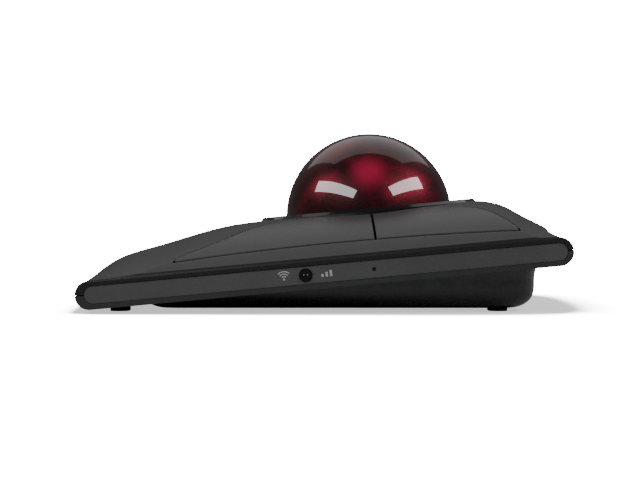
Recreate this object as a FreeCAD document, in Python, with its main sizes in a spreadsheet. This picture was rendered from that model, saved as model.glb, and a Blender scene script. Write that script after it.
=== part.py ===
# Low, wide trackball mouse: a big ball in the middle of a thin sloping blade, with four
# large top buttons, standing on a shallow base. Millimetres, +X right, +Y rear, +Z up,
# origin on the table under the middle of the body.
import FreeCAD, Part
import math
import os
import Sketcher
from FreeCAD import Placement, Rotation, Vector

os.makedirs("parts", exist_ok=True)
doc = FreeCAD.newDocument("trackball_mouse")
dims = doc.addObject("Spreadsheet::Sheet", "dims")

# Driving sizes. Those marked (deck) are measured in the deck frame: the plane halfway up
# the blade, which slopes down towards the user's palm.
SIZES = [
    ("body_half_width", 66.0, "side face of the blade from the middle"),
    ("body_half_depth", 77.8, "nose tip from the middle, at the centre line (deck)"),
    ("corner_setback", 2.4, "how much shorter the blade is at its side faces (deck)"),
    ("blade_half_height", 4.4, "half the thickness of the blade's edge"),
    ("deck_slope", 5.3, "slope of the deck in degrees, rising to the rear"),
    ("deck_height", 12.15, "height of the deck plane over the table at the origin"),
    ("spine_rise", 12.7, "crown of the spine over the blade, on the centre line"),
    ("flank_rise", 10.4, "rise of the spine's surface at the side faces"),
    ("wing_inner_x", 24.0, "where the button surface levels out"),
    ("wing_inner_rise", 13.1, "button surface over the blade's top, at its inner end"),
    ("side_lip", 1.2, "rounding at the top of the side faces"),
    ("shell_wall", 1.8, "wall of the top shell and the tray"),
    ("side_wall", 3.4, "wall behind the side strips"),
    ("ball_radius", 27.5, "the ball"),
    ("ball_y", 15.0, "ball centre towards the rear"),
    ("ball_clear", 1.5, "underside of the ball over the table"),
    ("ball_gap", 1.2, "air between the ball and the cup"),
    ("ball_layer_gap", 0.3, "parting between the layers of the ball"),
    ("cup_wall", 1.8, "wall of the ball cup"),
    ("ring_gap", 0.7, "air between the ball and the ring at the equator"),
    ("ring_width", 7.7, "radial width of the ring"),
    ("ring_lip", 0.9, "width of the ring's sloping outer lip"),
    ("ring_proud", 0.9, "ring's crown over the spine in front of it"),
    ("ring_depth", 4.6, "height of the ring"),
    ("button_wall", 2.2, "thickness of a button cap"),
    ("button_gap", 0.6, "gap around a button cap"),
    ("button_split", 0.7, "gap between the front and rear buttons"),
    ("button_inset", 4.4, "outer edge of a button from the side face, at its ends"),
    ("button_waist", 2.4, "how far that edge bows in halfway"),
    ("button_tip", 1.8, "width of the blunt tip at the end of a button"),
    ("pivot_radius", 1.0, "button pivot pin"),
    ("pivot_clearance", 0.05, "running clearance of a lug on its pin"),
    ("pivot_inset", 10.5, "pivot pin from the side face"),
    ("pivot_rise", 3.6, "pivot pin over the deck plane"),
    ("base_half_width", 57.0, "base at its widest"),
    ("base_front", 57.0, "front of the base from the origin"),
    ("base_rear", 65.3, "rear of the base from the origin"),
    ("base_corner", 12.0, "plan radius of the base's corners"),
    ("base_wall", 2.0, "wall and floor of the base"),
    ("foot_height", 1.0, "underside of the base over the table"),
    ("foot_length", 11.0, "rubber foot, side to side"),
    ("foot_width", 5.8, "rubber foot, front to rear"),
    ("foot_x", 45.0, "middle of a foot from the centre line"),
    ("front_foot_y", 63.3, "front feet from the origin"),
    ("rear_foot_y", 53.8, "rear feet from the origin"),
    ("strip_length", 146.3, "side strip"),
    ("strip_height", 5.5, "side strip"),
    ("strip_thick", 1.0, "side strip"),
    ("strip_recess", 1.2, "depth of its recess"),
    ("dpi_button_radius", 1.9, "small button in the right strip"),
    ("dpi_button_y", 5.6, "that button in front of the origin"),
    ("light_radius", 0.6, "status light in the right strip"),
    ("light_y", 15.0, "that light behind the origin"),
    ("board_thick", 1.0, "circuit boards"),
    ("socket_width", 8.94, "USB-C socket shell"),
    ("socket_height", 3.16, "USB-C socket shell"),
    ("socket_length", 7.4, "USB-C socket shell"),
    ("battery_length", 46.0, "battery, side to side"),
    ("battery_width", 30.0, "battery, front to rear"),
    ("battery_thick", 5.4, "battery"),
    ("bearing_radius", 1.5, "ceramic ball that carries the big ball"),
    ("bearing_gap", 0.05, "film between a bearing and the ball"),
    ("bearing_angle", 58.0, "bearing up from straight below the ball centre, degrees"),
    ("sensor_angle", 65.0, "sensor up from straight below the ball centre, degrees"),
    ("receiver_x", 28.0, "USB receiver, right of the centre line"),
    ("receiver_y", 47.0, "USB receiver, behind the origin"),
    ("receiver_width", 14.4, "receiver cap, side to side"),
    ("receiver_thick", 6.0, "receiver cap, front to rear"),
    ("receiver_cap", 6.2, "height of the receiver's cap"),
    ("receiver_plug", 12.5, "length of the receiver's plug"),
    ("receiver_fit", 0.3, "air around the receiver in its slot"),
    ("knob_length", 5.0, "mode switch knob"),
    ("knob_width", 3.0, "mode switch knob"),
    ("knob_travel", 2.0, "mode switch, each way from the middle"),
    ("screw_radius", 1.0, "case, cup and board screws"),
]
for row, (alias, value, note) in enumerate(SIZES, 1):
    dims.set("A%d" % row, note)
    dims.set("B%d" % row, str(value))
    dims.setAlias("B%d" % row, alias)
doc.recompute()


def dim(alias):
    return float(dims.get(alias))


def value_of(text):
    """What an expression on the sheet comes to now."""
    return float(dims.evalExpression(text))


# The deck frame: pieces of the sloping blade are modelled flat and placed with it.
WORLD = Placement()
DECK = Placement(Vector(0, 0, dim("deck_height")), Rotation(Vector(1, 0, 0), dim("deck_slope")))
SIDES = (("left", -1), ("right", 1))
nodes = []


def keep(obj, label, place=WORLD):
    """Make a finished object one named sub-part and put it where it belongs."""
    obj.Label = label
    obj.Placement = place.multiply(obj.Placement)
    nodes.append(obj)
    return obj


def keep_shape(shape, label, place=WORLD):
    """A sub-part whose shape is made with Part's own functions."""
    obj = doc.addObject("Part::Feature", label)
    obj.Shape = shape
    return keep(obj, label, place)


def primitive(kind, name, sizes, x=0.0, y=0.0, z=0.0, turn=Rotation()):
    """A Part primitive whose sizes are expressions on the sheet."""
    obj = doc.addObject("Part::" + kind, name)
    for prop, text in sizes.items():
        obj.setExpression(prop, text)
    obj.Placement = Placement(Vector(x, y, z), turn)
    return obj


def joined(kind, name, base, tool):
    """A Part boolean: Cut, Fuse or Common."""
    obj = doc.addObject("Part::" + kind, name)
    obj.Base = base
    obj.Tool = tool
    return obj


def together(name, parts):
    """Separate like pieces in one node."""
    obj = doc.addObject("Part::Compound", name)
    obj.Links = parts
    return obj


def in_deck(shape):
    """The same solid, seen from the deck frame."""
    moved = shape.copy()
    moved.Placement = DECK.inverse().multiply(moved.Placement)
    return moved


def block(x0, x1, y0, y1, z0, z1):
    return Part.makeBox(x1 - x0, y1 - y0, z1 - z0, Vector(x0, y0, z0))


def post(radius, x, y, z0, z1):
    return Part.makeCylinder(radius, z1 - z0, Vector(x, y, z0))


# ---------------------------------------------------------------- shared geometry
NOSE = dim("blade_half_height")
HALF_WIDTH = dim("body_half_width")
NOSE_Y = dim("body_half_depth") - NOSE
WALL = dim("shell_wall")
BALL = Vector(0, dim("ball_y"), dim("ball_radius") + dim("ball_clear"))
BALL_DECK = DECK.inverse().multVec(BALL)
RING_INNER = dim("ball_radius") + dim("ring_gap")
RING_OUTER = RING_INNER + dim("ring_width")
RING_SEAT_GAP = 0.15
RING_TOP = NOSE + dim("spine_rise") + dim("ring_proud") + RING_SEAT_GAP
BUTTON_OUTER = HALF_WIDTH - dim("button_inset")
CUP_INNER = dim("ball_radius") + dim("ball_gap")
CUP_OUTER = CUP_INNER + dim("cup_wall")
# Share of the run from nose to ring (or ring to nose), then height as a share of the
# crown's rise: on the centre line, and at the side faces.
FRONT_RISE = ((0.13, 0.32, 0.005), (0.38, 0.60, 0.11), (0.63, 0.82, 0.36), (0.88, 0.98, 0.58))
RING_RISE = ((-1, 1.0, 0.78), (0, 1.01, 1.20), (0.78, 1.04, 0.77), (1, 1.0, 0.52))
REAR_RISE = ((0.30, 0.84, 0.28), (0.59, 0.51, 0.05), (0.87, 0.18, 0.01))
ON_CENTRE = 1
AT_SIDE = 2
RING_MARGIN = 1.5
# Angle at which the crown leaves the front nose and lands on the rear one.
CENTRE_LEADS = (40, 34)
SIDE_LEADS = (2, 3)


def nose_section(x, nose_y, rise, column, leads, inset):
    """Outline of the whole body in a plane x = const: full-round noses under a crown."""
    radius = NOSE - inset
    front_lead, rear_lead = leads
    front_turn = math.radians(90 + front_lead)
    rear_turn = math.radians(90 - rear_lead)
    start = Vector(x, -nose_y + radius * math.cos(front_turn), radius * math.sin(front_turn))
    end = Vector(x, nose_y + radius * math.cos(rear_turn), radius * math.sin(rear_turn))
    ring_front = BALL_DECK.y - RING_OUTER - RING_MARGIN
    ring_rear = BALL_DECK.y + RING_OUTER + RING_MARGIN
    points = [start]
    for share in FRONT_RISE:
        y = start.y + (ring_front - start.y) * share[0]
        points.append(Vector(x, y, radius + rise * share[column]))
    for share in RING_RISE:
        y = BALL_DECK.y + share[0] * (ring_rear - BALL_DECK.y)
        points.append(Vector(x, y, radius + rise * share[column]))
    for share in REAR_RISE:
        y = ring_rear + (end.y - ring_rear) * share[0]
        points.append(Vector(x, y, radius + rise * share[column]))
    points.append(end)
    crown = Part.BSplineCurve()
    leave = Vector(0, math.cos(math.radians(front_lead)), math.sin(math.radians(front_lead)))
    land = Vector(0, math.cos(math.radians(rear_lead)), -math.sin(math.radians(rear_lead)))
    crown.interpolate(Points=points, InitialTangent=leave, FinalTangent=land)
    low_front = Vector(x, -nose_y, -radius)
    low_rear = Vector(x, nose_y, -radius)
    return Part.Wire([
        Part.LineSegment(low_rear, low_front).toShape(),
        Part.Arc(low_front, Vector(x, -nose_y - radius, 0), start).toShape(),
        crown.toShape(),
        Part.Arc(end, Vector(x, nose_y + radius, 0), low_rear).toShape()])


def envelope(inset=0.0, side_inset=0.0):
    """Blade and spine as one closed body, or the same body shrunk to line a wall."""
    half = HALF_WIDTH - side_inset
    short = NOSE_Y - dim("corner_setback")
    side = (short, dim("flank_rise"), AT_SIDE, SIDE_LEADS, inset)
    middle = (NOSE_Y, dim("spine_rise"), ON_CENTRE, CENTRE_LEADS, inset)
    return Part.makeLoft([nose_section(-half, *side), nose_section(0, *middle),
                          nose_section(half, *side)], True, False)


WING_DROP = dim("wing_inner_rise")
WING_RUN = HALF_WIDTH - dim("wing_inner_x")
WING_RADIUS = (WING_RUN ** 2 + WING_DROP ** 2) / (2 * WING_DROP)


def wing_height(x):
    """Height of the button surface over the deck plane."""
    run = abs(x) - dim("wing_inner_x")
    return NOSE + WING_DROP - WING_RADIUS + math.sqrt(WING_RADIUS ** 2 - run * run)


def wing_cutter(side, inset=0.0, side_inset=0.0):
    """Everything above the button surface on one side."""
    inner = dim("wing_inner_x")
    edge = HALF_WIDTH - side_inset
    lip = dim("side_lip")
    start = Vector(inner, 0, wing_height(inner) - inset)
    turn = Vector(edge - lip, 0, wing_height(edge - lip) - inset)
    half = (inner + turn.x) / 2
    bend = Vector(half, 0, wing_height(half) - inset)
    foot = Vector(edge, 0, turn.z - 1.1 * lip)
    roll = Vector(edge - 0.33 * lip, 0, turn.z - 0.42 * lip)
    out = Vector(edge + 10, 0, foot.z)
    high = Vector(edge + 10, 0, 60)
    back = Vector(inner, 0, 60)
    wire = Part.Wire([
        Part.Arc(start, bend, turn).toShape(),
        Part.Arc(turn, roll, foot).toShape(),
        Part.LineSegment(foot, out).toShape(),
        Part.LineSegment(out, high).toShape(),
        Part.LineSegment(high, back).toShape(),
        Part.LineSegment(back, start).toShape()])
    face = Part.Face(wire)
    reach = 2 * dim("body_half_depth")
    face.translate(Vector(0, -reach / 2, 0))
    solid = face.extrude(Vector(0, reach, 0))
    return solid if side > 0 else solid.mirror(Vector(0, 0, 0), Vector(1, 0, 0))


def whole_body(inset=0.0, side_inset=0.0):
    cutters = [wing_cutter(side, inset, side_inset) for name, side in SIDES]
    return envelope(inset, side_inset).cut(cutters)


OUTER = whole_body()
INNER = whole_body(WALL, dim("side_wall"))
BIG = 2 * dim("body_half_depth")
UPPER_HALF = block(-BIG, BIG, -BIG, BIG, 0, BIG)
LOWER_HALF = block(-BIG, BIG, -BIG, BIG, -BIG, 0)


CREST_SAMPLES = 80
CREST_STEP = 7.0


def crest_curve(end):
    """Plan of the crease where the spine meets the right wing; end is -1 front, 1 rear.

    The crease is sampled, and one point is kept for each step away from the ball."""
    spine = max(envelope().Faces, key=lambda face: face.CenterOfMass.z)
    cutter = wing_cutter(1)
    wing = max(cutter.Faces, key=lambda face: face.Area if face.Surface.TypeId ==
               "Part::GeomCylinder" else 0)
    crease = [point for edge in spine.section(wing).Edges for point in edge.discretize(CREST_SAMPLES)]
    reach = {}
    for point in crease:
        away = (point.y - BALL_DECK.y) * end
        if away > 0 and math.hypot(point.x, away) > RING_OUTER - 2:
            reach[round(away / CREST_STEP)] = Vector(point.x, point.y, 0)
    return [reach[step] for step in sorted(reach)]


# ---------------------------------------------------------------- ball
def ball_layer(name, outer_text, inner_text=None):
    """One layer of the cast ball; the layers share a centre."""
    outer = primitive("Sphere", name + "_solid", {"Radius": outer_text}, *BALL)
    if inner_text is None:
        return keep(outer, name)
    inner = primitive("Sphere", name + "_hollow", {"Radius": inner_text}, *BALL)
    return keep(joined("Cut", name, outer, inner), name)


ball_layer("ball_core", "dims.ball_radius / 3")
ball_layer("ball_middle", "dims.ball_radius * 2 / 3", "dims.ball_radius / 3 + dims.ball_layer_gap")
ball_layer("ball_shell", "dims.ball_radius", "dims.ball_radius * 2 / 3 + dims.ball_layer_gap")


# ---------------------------------------------------------------- ball ring
def polygon_sketch(body, role, name, points):
    """A closed outline whose corners are all placed by expressions on the sheet."""
    sketch = body.newObject("Sketcher::SketchObject", name)
    plane = next(f for f in body.Origin.OriginFeatures if f.Role == role)
    sketch.AttachmentSupport = [(plane, "")]
    sketch.MapMode = "FlatFace"
    count = len(points)
    for i in range(count):
        start = Vector(math.cos(2 * math.pi * i / count), math.sin(2 * math.pi * i / count), 0)
        j = i + 1
        end = Vector(math.cos(2 * math.pi * j / count), math.sin(2 * math.pi * j / count), 0)
        sketch.addGeometry(Part.LineSegment(start, end))
    for i in range(count):
        sketch.addConstraint(Sketcher.Constraint("Coincident", i, 2, (i + 1) % count, 1))
    for i, (across, up) in enumerate(points):
        for axis, text in (("DistanceX", across), ("DistanceY", up)):
            index = sketch.addConstraint(Sketcher.Constraint(axis, -1, 1, i, 1, 1.0))
            sketch.setExpression("Constraints[%d]" % index, text)
    return sketch


def turned_body(name, points, label, place):
    """A PartDesign body turned from an outline in its XZ plane about its own Z axis."""
    body = doc.addObject("PartDesign::Body", name)
    sketch = polygon_sketch(body, "XZ_Plane", name + "_outline", points)
    turn = body.newObject("PartDesign::Revolution", name + "_turn")
    turn.Profile = sketch
    turn.ReferenceAxis = (sketch, ["V_Axis"])
    turn.Angle = 360
    body.Tip = turn
    return keep(body, label, place)


ring_place = DECK.multiply(Placement(Vector(0, BALL_DECK.y, RING_TOP), Rotation()))
ring_points = [
    ("dims.ball_radius + dims.ring_gap", "-dims.ring_depth"),
    ("dims.ball_radius + dims.ring_gap + dims.ring_width", "-dims.ring_depth"),
    ("dims.ball_radius + dims.ring_gap + dims.ring_width", "-dims.ring_lip"),
    ("dims.ball_radius + dims.ring_gap + dims.ring_width - dims.ring_lip", "0"),
    ("dims.ball_radius + dims.ring_gap + 0.5", "-dims.ring_proud"),
    ("dims.ball_radius + dims.ring_gap", "-dims.ring_proud - 0.5")]
turned_body("ball_ring", ring_points, "ball_ring", ring_place)

# ---------------------------------------------------------------- ball cup
CUP_TOP = RING_TOP - dim("ring_depth")
CUP_FLANGE = 2.4
HEAD_SINK = 1.3
FLANGE_BOTTOM = CUP_TOP - CUP_FLANGE
FLOOR_TOP = dim("foot_height") + dim("base_wall")


def around_ball(angle_down, turn):
    """Direction from the ball's centre: an angle up from straight down, turned about Z."""
    down = math.radians(angle_down)
    about = math.radians(turn)
    flat = math.sin(down)
    return Vector(flat * math.cos(about), flat * math.sin(about), -math.cos(down))


BEARING_TURNS = (90, 210, 330)
BEARING_CENTRE = dim("ball_radius") + dim("bearing_gap") + dim("bearing_radius")
bearing_ways = [around_ball(dim("bearing_angle"), turn) for turn in BEARING_TURNS]
sensor_ways = {side: around_ball(dim("sensor_angle"), 90 - 90 * sign) for side, sign in SIDES}
LENS_RADIUS = 3.6
POST_RADIUS = 2.4
CUP_POST_TURNS = (60, 120, 270)
CUP_POST_RADIUS = RING_OUTER - POST_RADIUS - 0.5
cup_post_plans = [(CUP_POST_RADIUS * math.cos(math.radians(turn)),
                   BALL_DECK.y + CUP_POST_RADIUS * math.sin(math.radians(turn)))
                  for turn in CUP_POST_TURNS]


def deck_post(radius, x, y, z0, z1):
    """A cylinder square to the deck, given in deck coordinates."""
    solid = post(radius, x, y, z0, z1)
    solid.Placement = DECK.multiply(solid.Placement)
    return solid


bowl = Part.makeSphere(CUP_OUTER, BALL)
flange = Part.makeCylinder(RING_OUTER - 0.5, CUP_FLANGE, Vector(0, BALL_DECK.y, FLANGE_BOTTOM))
flange.Placement = DECK.multiply(flange.Placement)
below_flange = block(-BIG, BIG, -BIG, BIG, -BIG, CUP_TOP)
below_flange.Placement = DECK
bowl = bowl.common(below_flange).fuse(flange)
BOSS_ROOT = 0.6
BOSS_RADIUS = 2 * dim("bearing_radius")
bearing_bosses = [Part.makeCylinder(BOSS_RADIUS, 2.6, BALL + way * (CUP_OUTER - BOSS_ROOT), way)
                  for way in bearing_ways]
bowl = bowl.fuse(bearing_bosses)
bowl = bowl.cut(Part.makeSphere(CUP_INNER, BALL))
bore_start = dim("ball_radius") - 1.5
bowl = bowl.cut([Part.makeCylinder(dim("bearing_radius"), CUP_OUTER + BOSS_ROOT - bore_start,
                                   BALL + way * bore_start, way) for way in bearing_ways])
lens_start = dim("ball_radius") - 3.5
bowl = bowl.cut([Part.makeCylinder(LENS_RADIUS, 12, BALL + way * lens_start, way)
                 for way in sensor_ways.values()])
bowl = bowl.cut(block(-BIG, BIG, -BIG, BIG, -BIG, dim("foot_height") + 0.3))
CUP_SCREW_REACH = 6.0
cup_holes = [deck_post(dim("screw_radius"), x, y, FLANGE_BOTTOM - CUP_SCREW_REACH, CUP_TOP + 1)
             for x, y in cup_post_plans]
counterbores = [deck_post(2.1 * dim("screw_radius"), x, y, CUP_TOP - HEAD_SINK, CUP_TOP + 1)
                for x, y in cup_post_plans]
keep_shape(bowl.cut(cup_holes + counterbores).removeSplitter(), "ball_cup")

bearings = [primitive("Sphere", "bearing_%d" % i, {"Radius": "dims.bearing_radius"},
                      *(BALL + way * BEARING_CENTRE)) for i, way in enumerate(bearing_ways, 1)]
keep(together("ball_bearings", bearings), "ball_bearings")

# ---------------------------------------------------------------- base
# Height over the table, and how far the wall stands in from the base's full size there.
BASE_LEVELS = ((1.0, 6.4), (1.9, 3.4), (4.0, 1.0), (7.5, 0.0), (11.0, -0.1), (15.5, -1.9),
               (22.0, -3.0))


def base_outline(z, inset):
    """Rounded rectangle of the base at one height."""
    half = dim("base_half_width") - inset
    front = -dim("base_front") + inset
    rear = dim("base_rear") - inset
    radius = dim("base_corner") - inset
    diagonal = radius * (1 - math.sqrt(0.5))
    corners = [((half, front), (-1, 0), (0, 1)), ((half, rear), (0, -1), (-1, 0)),
               ((-half, rear), (1, 0), (0, -1)), ((-half, front), (0, 1), (1, 0))]
    edges = []
    last = None
    first = None
    for (x, y), arrive, leave in corners:
        start = Vector(x + arrive[0] * radius, y + arrive[1] * radius, z)
        end = Vector(x + leave[0] * radius, y + leave[1] * radius, z)
        middle = Vector(x - math.copysign(diagonal, x), y - math.copysign(diagonal, y), z)
        if last is not None:
            edges.append(Part.LineSegment(last, start).toShape())
        else:
            first = start
        edges.append(Part.Arc(start, middle, end).toShape())
        last = end
    edges.append(Part.LineSegment(last, first).toShape())
    return Part.Wire(edges)


def base_solid(inset=0.0):
    outlines = [base_outline(z, d + inset) for z, d in BASE_LEVELS]
    return Part.makeLoft(outlines, True, False)


BASE_INSIDE = base_solid(dim("base_wall")).common(block(-BIG, BIG, -BIG, BIG, FLOOR_TOP, BIG))
base_body = base_solid().cut(BASE_INSIDE)
above_seam = block(-BIG, BIG, -BIG, BIG, -NOSE, BIG)
above_seam.Placement = DECK

# Posts that the cup, the boards and the tray stand on.
SWITCH_BOARD = {"x0": CUP_OUTER + 6.0, "x1": HALF_WIDTH - 4.5, "y0": -12.0, "y1": 39.5}
SWITCH_BOARD_BOTTOM = -1.0
BOARD_POST_INSET = 3.0
board_posts = [(SWITCH_BOARD["x0"] + BOARD_POST_INSET, y)
               for y in (SWITCH_BOARD["y0"] + BOARD_POST_INSET, SWITCH_BOARD["y1"] - BOARD_POST_INSET)]
posts = []
above_flange = block(-BIG, BIG, -BIG, BIG, FLANGE_BOTTOM, BIG)
above_flange.Placement = DECK
for x, y in cup_post_plans:
    top = DECK.multVec(Vector(x, y, FLANGE_BOTTOM))
    posts.append(post(POST_RADIUS, top.x, top.y, FLOOR_TOP - 0.5, BIG / 4).cut(above_flange))
board_ceiling = block(-BIG, BIG, -BIG, BIG, SWITCH_BOARD_BOTTOM, BIG)
board_ceiling.Placement = DECK
for side, sign in SIDES:
    for x, y in board_posts:
        foot = DECK.multVec(Vector(sign * x, y, SWITCH_BOARD_BOTTOM))
        posts.append(post(POST_RADIUS, foot.x, foot.y, FLOOR_TOP - 0.5, BIG / 4).cut(board_ceiling))

# Slot for the receiver and window for the mode switch, on either side behind the ball.
RECEIVER_X = dim("receiver_x")
RECEIVER_Y = dim("receiver_y")
RECEIVER_BOTTOM = dim("foot_height") + 0.1
SLEEVE_WALL = 1.2
SLEEVE_TOP = RECEIVER_BOTTOM + dim("receiver_cap") + dim("receiver_plug") + SLEEVE_WALL
PLUG_HALF_WIDTH = 6.0
PLUG_HALF_THICK = 2.25


def well(half_x, half_y, z0, z1):
    """An upright block about the receiver's middle."""
    return block(RECEIVER_X - half_x, RECEIVER_X + half_x,
                 RECEIVER_Y - half_y, RECEIVER_Y + half_y, z0, z1)


def knob_well(half_x, half_y, z1):
    """An upright block from the table up, about the middle of the mode switch's knob."""
    return well(half_x, half_y, 0, z1).translated(Vector(-2 * RECEIVER_X, 0, 0))


slot_half_x = dim("receiver_width") / 2 + dim("receiver_fit")
slot_half_y = dim("receiver_thick") / 2 + dim("receiver_fit")
sleeve = well(slot_half_x + SLEEVE_WALL, slot_half_y + SLEEVE_WALL, FLOOR_TOP - 0.5, SLEEVE_TOP)
slot = well(slot_half_x, slot_half_y, 0, RECEIVER_BOTTOM + dim("receiver_cap") + dim("receiver_fit"))
plug_slot = well(PLUG_HALF_WIDTH + dim("receiver_fit"), PLUG_HALF_THICK + dim("receiver_fit"),
                 0, SLEEVE_TOP - 0.8)
STEM_HALF = 0.8
KNOB_SKIN = 0.8
knob_window = knob_well(dim("knob_length") / 2 + dim("knob_travel") + 3.5, dim("knob_width") / 2 + 2,
                        FLOOR_TOP - KNOB_SKIN)
stem_window = knob_well(STEM_HALF + dim("knob_travel") + 1.2, STEM_HALF + 0.5, FLOOR_TOP + 1)
BALL_HOLE_RADIUS = 17.5
ball_hole = post(BALL_HOLE_RADIUS, BALL.x, BALL.y, 0, FLOOR_TOP + 1)

CASE_SCREWS = ((30.0, -36.0), (34.0, 58.0))
CASE_POST_RADIUS = 2.8
for side, sign in SIDES:
    for x, y in CASE_SCREWS:
        posts.append(post(CASE_POST_RADIUS, sign * x, y, FLOOR_TOP - 0.5, BIG / 4).cut(above_seam))
base_body = base_body.cut(above_seam).fuse(posts + [sleeve])
base_body = base_body.cut([slot, plug_slot, knob_window, stem_window, ball_hole])
SCREW = dim("screw_radius")
HEAD_RADIUS = 1.9 * SCREW
HEAD_HEIGHT = 1.2
CASE_HEAD_BOTTOM = dim("foot_height") + 0.3
BOARD_SCREW_REACH = 4.0
screw_holes = []
for side, sign in SIDES:
    for x, y in CASE_SCREWS:
        screw_holes.append(post(SCREW, sign * x, y, 0, BIG / 4))
        screw_holes.append(post(HEAD_RADIUS + 0.2, sign * x, y, 0, CASE_HEAD_BOTTOM + HEAD_HEIGHT))
screw_holes += cup_holes
screw_holes += [deck_post(SCREW, sign * x, y, SWITCH_BOARD_BOTTOM - BOARD_SCREW_REACH, SWITCH_BOARD_BOTTOM + 1)
                for side, sign in SIDES for x, y in board_posts]
base_body = base_body.cut(screw_holes)
keep_shape(base_body.removeSplitter(), "base_housing")

# ---------------------------------------------------------------- tray: lower half of the blade
PIVOT_X = HALF_WIDTH - dim("pivot_inset")
PIVOT_Z = dim("pivot_rise")
PINS = {"front": -25.0, "rear": 50.0}
PIN_HALF = 10.0
LUG_REACH = 4.0
LUG_HALF_WIDTH = 1.5
LUG_RADIUS = 2.0
TRAY_FLOOR = -NOSE + WALL


def stadium_prism(half_length, radius, x0, x1):
    """A slot-shaped prism along X, lying along Y."""
    flat = half_length - radius
    core = block(x0, x1, -flat, flat, -radius, radius)
    ends = [Part.makeCylinder(radius, x1 - x0, Vector(x0, y, 0), Vector(1, 0, 0)) for y in (-flat, flat)]
    return core.fuse(ends)


STRIP_Y = 0.47
recess = stadium_prism(dim("strip_length") / 2, dim("strip_height") / 2,
                       HALF_WIDTH - dim("strip_recess"), HALF_WIDTH + 1)
recess.translate(Vector(0, STRIP_Y, 0))
recesses = [recess, recess.mirror(Vector(0, 0, 0), Vector(1, 0, 0))]
socket_hole = stadium_prism(dim("socket_width") / 2 + 0.25, dim("socket_height") / 2 + 0.2, 0, 12)
socket_hole.rotate(Vector(0, 0, 0), Vector(0, 0, 1), 90)
socket_hole.translate(Vector(0, dim("body_half_depth") - 9, 0))
DPI_Y = -dim("dpi_button_y")
LIGHT_Y = dim("light_y")
DPI_FIT = 0.15


def side_hole(radius, y):
    """A hole through the right side face at the height of the deck plane."""
    return Part.makeCylinder(radius, 8, Vector(HALF_WIDTH - 6, y, 0), Vector(1, 0, 0))


side_holes = [side_hole(dim("dpi_button_radius") + DPI_FIT, DPI_Y), side_hole(dim("light_radius"), LIGHT_Y)]
shared_cuts = recesses + [socket_hole] + side_holes

tray = envelope().common(LOWER_HALF).cut(envelope(WALL, dim("side_wall")))
opening = BASE_INSIDE.common(block(-50, 50, -22, BIG, 0, BIG))
tray = tray.cut(in_deck(opening))


def along_pin(radius, y, half):
    """A round bar along the right pivot's axis, about y."""
    return Part.makeCylinder(radius, 2 * half, Vector(PIVOT_X, y - half, PIVOT_Z), Vector(0, 1, 0))


BRACKET_HALF = 2.2
brackets = []
for y in PINS.values():
    for end in (-1, 1):
        middle = y + end * (PIN_HALF - LUG_HALF_WIDTH)
        bracket = block(PIVOT_X - BRACKET_HALF, PIVOT_X + BRACKET_HALF,
                        middle - LUG_HALF_WIDTH, middle + LUG_HALF_WIDTH, TRAY_FLOOR - 0.5, PIVOT_Z + 1.8)
        bracket = bracket.cut(along_pin(dim("pivot_radius"), middle, LUG_HALF_WIDTH))
        brackets += [bracket, bracket.mirror(Vector(0, 0, 0), Vector(1, 0, 0))]
tray = tray.fuse(brackets)
tray = tray.cut(shared_cuts + [in_deck(hole) for hole in screw_holes])
keep_shape(tray.removeSplitter(), "bottom_tray", DECK)

# ---------------------------------------------------------------- buttons
CREST = {"front": crest_curve(-1), "rear": crest_curve(1)}
TOWARDS_WING = {"front": Vector(0.78, 0.62, 0), "rear": Vector(0.59, -0.8, 0)}
END_OF = {"front": -1, "rear": 1}
# The spine's edge is trimmed this far inside the crease, which leaves it clean.
CREST_LIP = 0.25


def spine_side(end, gap):
    """Prism over the plan of the spine, up to the crease, grown towards the wing by gap."""
    points = CREST[end]
    curve = Part.BSplineCurve()
    curve.interpolate(Points=points)
    first = points[0]
    tip = points[-1]
    far = END_OF[end] * BIG
    corners = [tip, Vector(BIG, tip.y, 0), Vector(BIG, far, 0), Vector(-5, far, 0),
               Vector(-5, BALL_DECK.y + END_OF[end] * 5, 0), first]
    edges = [curve.toShape()]
    edges += [Part.LineSegment(a, b).toShape() for a, b in zip(corners, corners[1:])]
    face = Part.Face(Part.Wire(edges))
    face.translate(TOWARDS_WING[end] * (gap - CREST_LIP) + Vector(0, 0, -BIG / 4))
    return face.extrude(Vector(0, 0, BIG / 2))


def tip_y(end, gap):
    """Where the buttons of one end stop: short of the point where crease and edge meet."""
    width_left = BUTTON_OUTER - dim("button_tip")
    for a, b in zip(CREST[end], CREST[end][1:]):
        if a.x <= width_left <= b.x:
            return a.y + (b.y - a.y) * (width_left - a.x) / (b.x - a.x) - END_OF[end] * gap
    return CREST[end][-1].y - END_OF[end] * gap


def button_plan(gap):
    """Prism over both buttons of the right side, kept gap away from what surrounds them."""
    outer = BUTTON_OUTER - gap
    low = Vector(outer, tip_y("front", gap), 0)
    waist = Vector(outer - dim("button_waist"), BALL_DECK.y, 0)
    high = Vector(outer, tip_y("rear", gap), 0)
    inner_low = Vector(5, low.y, 0)
    inner_high = Vector(5, high.y, 0)
    face = Part.Face(Part.Wire([
        Part.Arc(low, waist, high).toShape(),
        Part.LineSegment(high, inner_high).toShape(),
        Part.LineSegment(inner_high, inner_low).toShape(),
        Part.LineSegment(inner_low, low).toShape()]))
    face.translate(Vector(0, 0, 0.2))
    prism = face.extrude(Vector(0, 0, BIG / 2))
    ring = Part.makeCylinder(RING_OUTER + gap, BIG, Vector(0, BALL_DECK.y, -BIG / 2))
    return prism.cut([spine_side("front", gap), spine_side("rear", gap), ring])


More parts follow.
